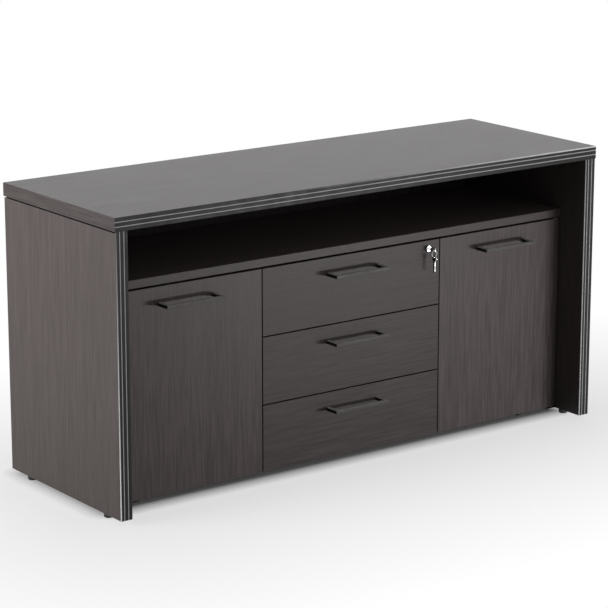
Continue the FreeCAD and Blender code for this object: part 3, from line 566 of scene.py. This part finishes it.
def cross_recess(shape, rim, top, arm, half, depth):
    """The face inside a rim, with a tapered cross sunk into it."""
    outline = []
    for turn in range(4):
        spin = Matrix.Rotation(turn * math.pi / 2, 3, "Z")
        outline += [spin @ Vector(spot) for spot in ((arm, -half, top), (arm, half, top), (half, half, top))]
    lip = [shape.verts.new(spot) for spot in outline]
    floor = [shape.verts.new((RECESS_TAPER * x, RECESS_TAPER * y, top - depth)) for x, y, _ in outline]
    edges = []
    for loop in (rim, lip):
        for first, second in zip(loop, loop[1:] + loop[:1]):
            edges.append(shape.edges.get((first, second)) or shape.edges.new((first, second)))
    bmesh.ops.triangle_fill(shape, use_beauty=True, edges=edges)
    for n in range(len(lip)):
        after = (n + 1) % len(lip)
        shape.faces.new((lip[n], lip[after], floor[after], floor[n]))
    shape.faces.new(floor)


def merge(shape, fresh, spot):
    """Adds one fitting to its set, where it stands."""
    fresh.transform(spot)
    mesh = bpy.data.meshes.new("fitting")
    fresh.to_mesh(mesh)
    fresh.free()
    shape.from_mesh(mesh)
    bpy.data.meshes.remove(mesh)


def screw_head(shape, spot, radius, height):
    """A domed screw head with a cross recess, on the surface it holds down."""
    fresh = bmesh.new()
    rings = turned(fresh, [(wide * radius, up * height) for wide, up in HEAD_PROFILE], SCREW_POINTS)
    fresh.faces.new(rings[0])
    arm, half = (radius * part for part in SCREW_CROSS)
    cross_recess(fresh, rings[-1], height, arm, half, 0.8 * height)
    merge(shape, fresh, spot)


def cam_housing(shape, spot, radius, sunk, recess):
    """A cam connector sunk into its board: a round housing with a stepped face and a cross recess."""
    fresh = bmesh.new()
    lip, crest = 0.0003, 0.0005
    steps = ((1.0, -sunk), (1.0, lip), (0.9, crest), (0.84, lip), (0.5, lip))
    rings = turned(fresh, [(wide * radius, up) for wide, up in steps], CAM_POINTS)
    fresh.faces.new(rings[0])
    arm, half = (radius * part for part in CAM_CROSS)
    cross_recess(fresh, rings[-1], lip, arm, half, recess)
    merge(shape, fresh, spot)


def dome(shape, spot, radius, height):
    """A soft domed pad with a short upright wall."""
    fresh = bmesh.new()
    wall = 0.35
    steps = 6
    profile = [(radius, 0.0), (radius, wall * height)]
    for step in range(1, steps):
        turn = step / steps * math.pi / 2
        profile.append((radius * math.cos(turn), height * (wall + (1 - wall) * math.sin(turn))))
    rings = turned(fresh, profile, PAD_POINTS)
    fresh.faces.new(rings[-1]).smooth = True
    fresh.faces.new(rings[0])
    merge(shape, fresh, spot)


class CABINET_OT_boards(bpy.types.Operator):
    """Lays the wenge laminate on the boards, its grain as each board runs"""

    bl_idname = "cabinet.boards"
    bl_label = "Boards"

    def execute(self, context):
        finish = context.scene.cabinet_boards
        doors = [f"{side}_door_panel" for side in SIDES]
        partitions = [f"{side}_partition" for side in SIDES]
        dress(wenge("wenge_upright", "z", "x"), *doors, *partitions)
        panels = [f"{side}_side_panel" for side in SIDES]
        # Side panels: painted shade on their inner faces and in the gap under the top.
        dress(wenge("wenge_side", "z", "x", figure=finish.side_figure, overlay=painted_side_shade), *panels)
        # Painted shade: the back panel is darkened for the shade in the niche.
        dress(wenge("wenge_back", "z", "x", finish.back_shade), "back_panel")
        fronts = [f"{drawer}_drawer_front" for drawer in DRAWERS]
        # Painted shade: a darker copy of the laminate for the level boards and the deck.
        level = wenge("wenge_level", "x", "y", finish.level_shade)
        dress(level, *fronts, "top_panel", "bottom_panel", "right_bay_shelf")
        # Painted light on the deck's upper face.
        dress(wenge("wenge_deck", "x", "y", finish.level_shade, painted_light=finish.deck_painted_light), "deck_panel")
        return {"FINISHED"}


class CABINET_OT_trim(bpy.types.Operator):
    """Finishes the reeded edge profiles and their silver lines"""

    bl_idname = "cabinet.trim"
    bl_label = "Edge trim"

    def execute(self, context):
        finish = context.scene.cabinet_fittings
        low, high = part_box("top_edge_profile")
        # Painted highlight along the upper front edge of the top's trim, stronger towards the right.
        edge = (high.z - finish.top_highlight, high.z - finish.top_highlight / 2)
        run = (low.x / 3, high.x)
        dress(reeded_trim("trim_level", "x", "z", edge, run, low.y), "top_edge_profile")
        # Painted highlight along the outer front edges of the side trims, stronger towards the bottom.
        for side, fade in HIGHLIGHT_FADES.items():
            low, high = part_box(f"{side}_edge_profile")
            edge = (low.x + finish.side_highlight, low.x + finish.side_highlight / 2)
            run = (fade * high.z, low.z)
            dress(reeded_trim(f"trim_{side}", "z", "x", edge, run, low.y), f"{side}_edge_profile")
        silver = {"wear": finish.metal_worn, "metallic": 0.0, "roughness": 0.45, "gloss": 0.2}
        dress(drawn("silver_level", finish.silver_level, "x", **silver), "top_edge_inlays")
        dress(drawn("silver_upright", finish.silver_upright, "z", **silver), "side_edge_inlays")
        return {"FINISHED"}


class CABINET_OT_drawer_boxes(bpy.types.Operator):
    """Lays the grey laminate on the boards of the drawer boxes"""

    bl_idname = "cabinet.drawer_boxes"
    bl_label = "Drawer boxes"

    def execute(self, context):
        lengthways = drawer_board("drawer_board_lengthways", "y")
        crossways = drawer_board("drawer_board_crossways", "x")
        for drawer in DRAWERS:
            dress(lengthways, f"{drawer}_drawer_sides")
            dress(crossways, f"{drawer}_drawer_back", f"{drawer}_drawer_bottom")
        return {"FINISHED"}


class CABINET_OT_handles(bpy.types.Operator):
    """Finishes the bow handles in satin graphite"""

    bl_idname = "cabinet.handles"
    bl_label = "Handles"

    def execute(self, context):
        graphite = bow_graphite("graphite_satin")
        dress(graphite, *[f"{side}_door_handle" for side in SIDES])
        dress(graphite, *[f"{drawer}_drawer_handle" for drawer in DRAWERS])
        return {"FINISHED"}


class CABINET_OT_fittings(bpy.types.Operator):
    """Finishes the runners, pivots, connectors, glides, lock and keys"""

    bl_idname = "cabinet.fittings"
    bl_label = "Fittings"

    def execute(self, context):
        finish = context.scene.cabinet_fittings
        zinc = drawn("zinc_steel", finish.zinc, "y", finish.metal_worn, metallic=0.95, roughness=0.38)
        for drawer in DRAWERS:
            dress(zinc, *[f"{drawer}_drawer_{part}_rails" for part in ("cabinet", "middle", "box")])
        dress(zinc, "lock_nut", "lock_cam", "cam_connectors", "shelf_pegs")
        dark = {"metallic": 0.0, "roughness": 0.5, "gloss": 0.08}
        plates = drawn("graphite_plate", finish.plate, "y", finish.plate_worn, **dark)
        dress(plates, "upper_pivot_plates", "lower_pivot_plates", "lock_strike")
        bright = {"wear": finish.chrome_worn, "metallic": 1.0, "worn": 0.3, "pitch": 0.0006}
        lock = drawn("lock_chrome", finish.chrome, "z", roughness=0.30, **bright)
        dress(lock, "lock_housing", "lock_plug")
        keys = drawn("key_chrome", finish.chrome, "z", roughness=0.14, **bright)
        dress(keys, "key", "key_ring")
        # Painted shade on the cheeks of the spare key.
        cheeks = {"cheek_shade": finish.key_cheek_shade, **bright}
        dress(drawn("spare_key_chrome", finish.chrome, "z", roughness=0.14, **cheeks), "spare_key")
        rubber = moulded("black_plastic", finish.black_plastic, 0.55)
        dress(rubber, "side_glides", "bottom_glides", "door_bumpers")
        nylon = moulded("bush_plastic", finish.bush_plastic, 0.42)
        dress(nylon, "left_door_bushes", "right_door_bushes")
        return {"FINISHED"}


def handle_screws(sizes, body, front):
    """The screws that hold one handle, on the rear of its door or drawer front."""
    shape = bmesh.new()
    low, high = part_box(f"{body}_handle")
    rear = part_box(front)[1].y
    for across in (low.x + sizes.handle_leg, high.x - sizes.handle_leg):
        spot = facing((across, rear, (low.z + high.z) / 2), REARWARDS)
        screw_head(shape, spot, sizes.handle_head, sizes.handle_rise)
    add_piece(f"{body}_handle_screws", shape, body, bpy.data.materials["zinc_steel"])


def back_screws(sizes):
    """The screws around the back panel and along the deck."""
    shape = bmesh.new()
    low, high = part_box("back_panel")
    inset = sizes.back_inset
    start, end = low.x + inset, high.x - inset
    spaces = 8
    rows = (low.z + inset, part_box("deck_panel")[0].z + sizes.deck_middle, high.z - inset)
    spots = [(start + n / spaces * (end - start), up) for n in range(spaces + 1) for up in rows]
    spots += [(across, up) for up in BACK_SIDE_HEIGHTS for across in (start, end)]
    for across, up in spots:
        screw_head(shape, facing((across, high.y, up), REARWARDS), sizes.back_head, sizes.back_rise)
    add_piece("back_screws", shape, "carcass", bpy.data.materials["zinc_steel"])


def plate_screws(sizes):
    """The screws of the pivot plates and the lock strike, all seen from below."""
    shape = bmesh.new()
    low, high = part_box("upper_pivot_plates")
    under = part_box("deck_panel")[0].z
    levels = (under - sizes.plate_gauge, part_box("lower_pivot_plates")[0].z)
    for across in (low.x + sizes.plate_inset, high.x - sizes.plate_inset):
        for row in PLATE_ROWS:
            for level in levels:
                spot = facing((across, high.y - row, level), DOWNWARDS)
                screw_head(shape, spot, sizes.plate_head, sizes.plate_rise)
    low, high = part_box("lock_strike")
    for part in (0.25, 0.75):
        across = low.x + part * (high.x - low.x)
        spot = facing((across, high.y - sizes.strike_inset, under - sizes.strike_gauge), DOWNWARDS)
        screw_head(shape, spot, sizes.strike_head, sizes.strike_rise)
    add_piece("plate_screws", shape, "carcass", bpy.data.materials["zinc_steel"])


class CABINET_OT_screws(bpy.types.Operator):
    """Adds the screws behind the handles, in the back, the pivot plates and the strike"""

    bl_idname = "cabinet.screws"
    bl_label = "Screws"

    def execute(self, context):
        sizes = context.scene.cabinet_fasteners
        for side in SIDES:
            handle_screws(sizes, f"{side}_door", f"{side}_door_panel")
        for drawer in DRAWERS:
            handle_screws(sizes, f"{drawer}_drawer", f"{drawer}_drawer_front")
        back_screws(sizes)
        plate_screws(sizes)
        return {"FINISHED"}


class CABINET_OT_connectors(bpy.types.Operator):
    """Adds the housings of the cam connectors and the soft pads that the doors close on"""

    bl_idname = "cabinet.connectors"
    bl_label = "Connectors and pads"

    def execute(self, context):
        sizes = context.scene.cabinet_fasteners
        shape = bmesh.new()
        low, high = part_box("cam_connectors")
        radius, recess = sizes.cam_radius, sizes.cam_recess
        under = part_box("deck_panel")[0].z
        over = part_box("bottom_panel")[1].z
        for across in (low.x + radius, high.x - radius):
            for depth in (low.y + radius, high.y - radius):
                cam_housing(shape, facing((across, depth, under), DOWNWARDS), radius, high.z - under, recess)
                cam_housing(shape, facing((across, depth, over), UPWARDS), radius, over - low.z, recess)
        cams = add_piece("cam_housings", shape, "carcass", bpy.data.materials["zinc_steel"])
        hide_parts("cam_connectors")
        shape = bmesh.new()
        low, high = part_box("door_bumpers")
        radius = sizes.pad_radius
        for across in (low.x + radius, high.x - radius):
            for up in (low.z + radius, high.z - radius):
                dome(shape, facing((across, high.y, up), FRONTWARDS), radius, high.y - low.y)
        pads = add_piece("door_pads", shape, "carcass", bpy.data.materials["black_plastic"])
        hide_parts("door_bumpers")
        return {"FINISHED"}


class CABINET_OT_lock_collar(bpy.types.Operator):
    """Adds the collar that stands around the rim of the lock, its dark finish painted shade of the lock's
    side wall
    """

    bl_idname = "cabinet.lock_collar"
    bl_label = "Lock collar"

    def execute(self, context):
        low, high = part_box("lock_plug")
        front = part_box("top_drawer_front")[0].y
        place = ((low.x + high.x) / 2, front, (low.z + high.z) / 2)
        fresh = bmesh.new()
        profile = [(wide / 1000, up / 1000) for wide, up in COLLAR_PROFILE]
        rings = turned(fresh, profile, COLLAR_POINTS)
        skin(fresh, [rings[-1], rings[0]])
        shape = bmesh.new()
        merge(shape, fresh, facing(place, FRONTWARDS))
        # The collar's dark finish is painted shade of the lock's side wall.
        dark = bpy.data.materials["graphite_plate"]
        add_piece("lock_collar", shape, "top_drawer", dark)
        return {"FINISHED"}


def area_light(name, place, aim, width, height, watts):
    """A soft panel of light that faces a point."""
    lamp = bpy.data.lights.new(name, "AREA")
    lamp.shape = "RECTANGLE"
    lamp.size = width
    lamp.size_y = height
    lamp.energy = watts
    panel = bpy.data.objects.new(name, lamp)
    panel.location = place
    panel.rotation_euler = (Vector(aim) - Vector(place)).to_track_quat("-Z", "Y").to_euler()
    bpy.context.scene.collection.objects.link(panel)


def seen_rays(tree):
    """One for what the camera sees, also in metal and through glass."""
    path = tree.nodes.new("ShaderNodeLightPath").outputs
    seen = path["Is Camera Ray"]
    for kind in ("Is Glossy Ray", "Is Transmission Ray"):
        either = tree.nodes.new("ShaderNodeMath")
        either.operation = "MAXIMUM"
        tree.links.new(seen, either.inputs[0])
        tree.links.new(path[kind], either.inputs[1])
        seen = either.outputs[0]
    return seen


def blend(tree, factor, first, second, output):
    """Mixes two shaders by a factor into an output."""
    mixed = tree.nodes.new("ShaderNodeMixShader")
    for socket, feeder in zip(mixed.inputs, (factor, first, second)):
        tree.links.new(feeder, socket)
    tree.links.new(mixed.outputs[0], tree.nodes[output].inputs["Surface"])


def floor_paint(tint):
    """Pale paint that looks nearly white away from the cabinet and keeps a soft shadow near it."""
    made = Finish("studio_floor", Roughness=0.9, IOR=1.2)
    spot = made.place()
    clouds = made.noise(spot, 2, 0.5, 3.0)
    made.feed("Base Color", made.mix(clouds, [0.99 * part for part in tint], tint))
    low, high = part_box("bottom_panel")
    squares = []
    for part, start, end in zip(made.parts(spot), low[:2], high[:2]):
        offset = made.math("ABSOLUTE", made.math("SUBTRACT", part, (start + end) / 2))
        past = made.math("MAXIMUM", made.math("SUBTRACT", offset, (end - start) / 2), 0.0)
        squares.append(made.math("POWER", past, 2.0))
    away = made.math("SQRT", made.math("ADD", *squares))
    white_share = made.math("ADD", made.spread(away, *NEAR_WHITE), made.spread(away, *FAR_WHITE))
    white = made.add("ShaderNodeEmission", {"Color": (1, 1, 1, 1), "Strength": 1.0})
    factor = made.times(seen_rays(made.tree), white_share)
    blend(made.tree, factor, made.shader.outputs[0], white.outputs[0], "Material Output")
    return made.material


def white_surround(ambient):
    """A room that lights softly and is seen as white."""
    world = bpy.data.worlds.new("studio_room")
    world.use_nodes = True
    tree = world.node_tree
    room = tree.nodes["Background"]
    room.inputs["Color"].default_value = (1, 1, 1, 1)
    room.inputs["Strength"].default_value = ambient
    white = tree.nodes.new("ShaderNodeBackground")
    white.inputs["Strength"].default_value = 1.0
    blend(tree, seen_rays(tree), room.outputs[0], white.outputs[0], "World Output")
    return world


def studio_camera(studio):
    """The camera, at the photograph's angle."""
    lens = bpy.data.cameras.new("studio_camera")
    lens.lens = studio.lens
    lens.sensor_width = 36.0
    camera = bpy.data.objects.new("studio_camera", lens)
    level = math.cos(studio.elevation)
    across, along = math.sin(studio.azimuth), math.cos(studio.azimuth)
    back = Vector((-across * level, -along * level, math.sin(studio.elevation)))
    camera.location = Vector(studio.aim) + back * studio.distance
    camera.rotation_euler = back.to_track_quat("Z", "Y").to_euler()
    return camera


class CABINET_OT_studio(bpy.types.Operator):
    """Sets up the pale floor, the soft lights, the white surround and the camera"""

    bl_idname = "cabinet.studio"
    bl_label = "Studio"

    def execute(self, context):
        scene = context.scene
        studio = scene.cabinet_studio
        mesh = bpy.data.meshes.new("studio_floor")
        reach = studio.floor_reach
        corners = [(-reach, -reach, 0), (reach, -reach, 0), (reach, reach, 0), (-reach, reach, 0)]
        mesh.from_pydata(corners, [], [(0, 1, 2, 3)])
        mesh.materials.append(floor_paint(studio.floor))
        floor = bpy.data.objects.new("studio_floor", mesh)
        scene.collection.objects.link(floor)
        area_light("front_panel", *FRONT_PANEL, studio.front_light)
        area_light("left_panel", *LEFT_PANEL, studio.side_light)
        area_light("back_panel_light", *BACK_PANEL, studio.back_light)
        scene.world = white_surround(studio.ambient)
        camera = studio_camera(studio)
        scene.collection.objects.link(camera)
        scene.camera = camera
        scene.view_settings.view_transform = "Standard"
        return {"FINISHED"}


OPERATORS = (
    CABINET_OT_boards,
    CABINET_OT_trim,
    CABINET_OT_drawer_boxes,
    CABINET_OT_handles,
    CABINET_OT_fittings,
    CABINET_OT_screws,
    CABINET_OT_connectors,
    CABINET_OT_lock_collar,
    CABINET_OT_studio,
)


class CABINET_PT_sidebar(bpy.types.Panel):
    """Lists the steps that dress the cabinet, and their settings"""

    bl_idname = "CABINET_PT_sidebar"
    bl_label = "Executive cabinet"
    bl_space_type = "VIEW_3D"
    bl_region_type = "UI"
    bl_category = "Cabinet"

    def draw(self, context):
        scene = context.scene
        for step in OPERATORS:
            self.layout.operator(step.bl_idname)
        groups = (scene.cabinet_boards, scene.cabinet_fittings, scene.cabinet_fasteners, scene.cabinet_studio)
        for settings in groups:
            part = self.layout.box()
            for name in settings.bl_rna.properties.keys():
                if name not in ("rna_type", "name"):
                    part.prop(settings, name)


CLASSES = (BoardFinish, FittingFinish, FastenerSizes, StudioSettings, *OPERATORS, CABINET_PT_sidebar)


def register():
    for made in CLASSES:
        bpy.utils.register_class(made)
    bpy.types.Scene.cabinet_boards = PointerProperty(type=BoardFinish)
    bpy.types.Scene.cabinet_fittings = PointerProperty(type=FittingFinish)
    bpy.types.Scene.cabinet_fasteners = PointerProperty(type=FastenerSizes)
    bpy.types.Scene.cabinet_studio = PointerProperty(type=StudioSettings)


def unregister():
    del bpy.types.Scene.cabinet_studio
    del bpy.types.Scene.cabinet_fasteners
    del bpy.types.Scene.cabinet_fittings
    del bpy.types.Scene.cabinet_boards
    for made in reversed(CLASSES):
        bpy.utils.unregister_class(made)


def main():
    register()
    bpy.ops.cabinet.boards()
    bpy.ops.cabinet.trim()
    bpy.ops.cabinet.drawer_boxes()
    bpy.ops.cabinet.handles()
    bpy.ops.cabinet.fittings()
    bpy.ops.cabinet.screws()
    bpy.ops.cabinet.connectors()
    bpy.ops.cabinet.lock_collar()
    bpy.ops.cabinet.studio()


if __name__ == "__main__":
    main()
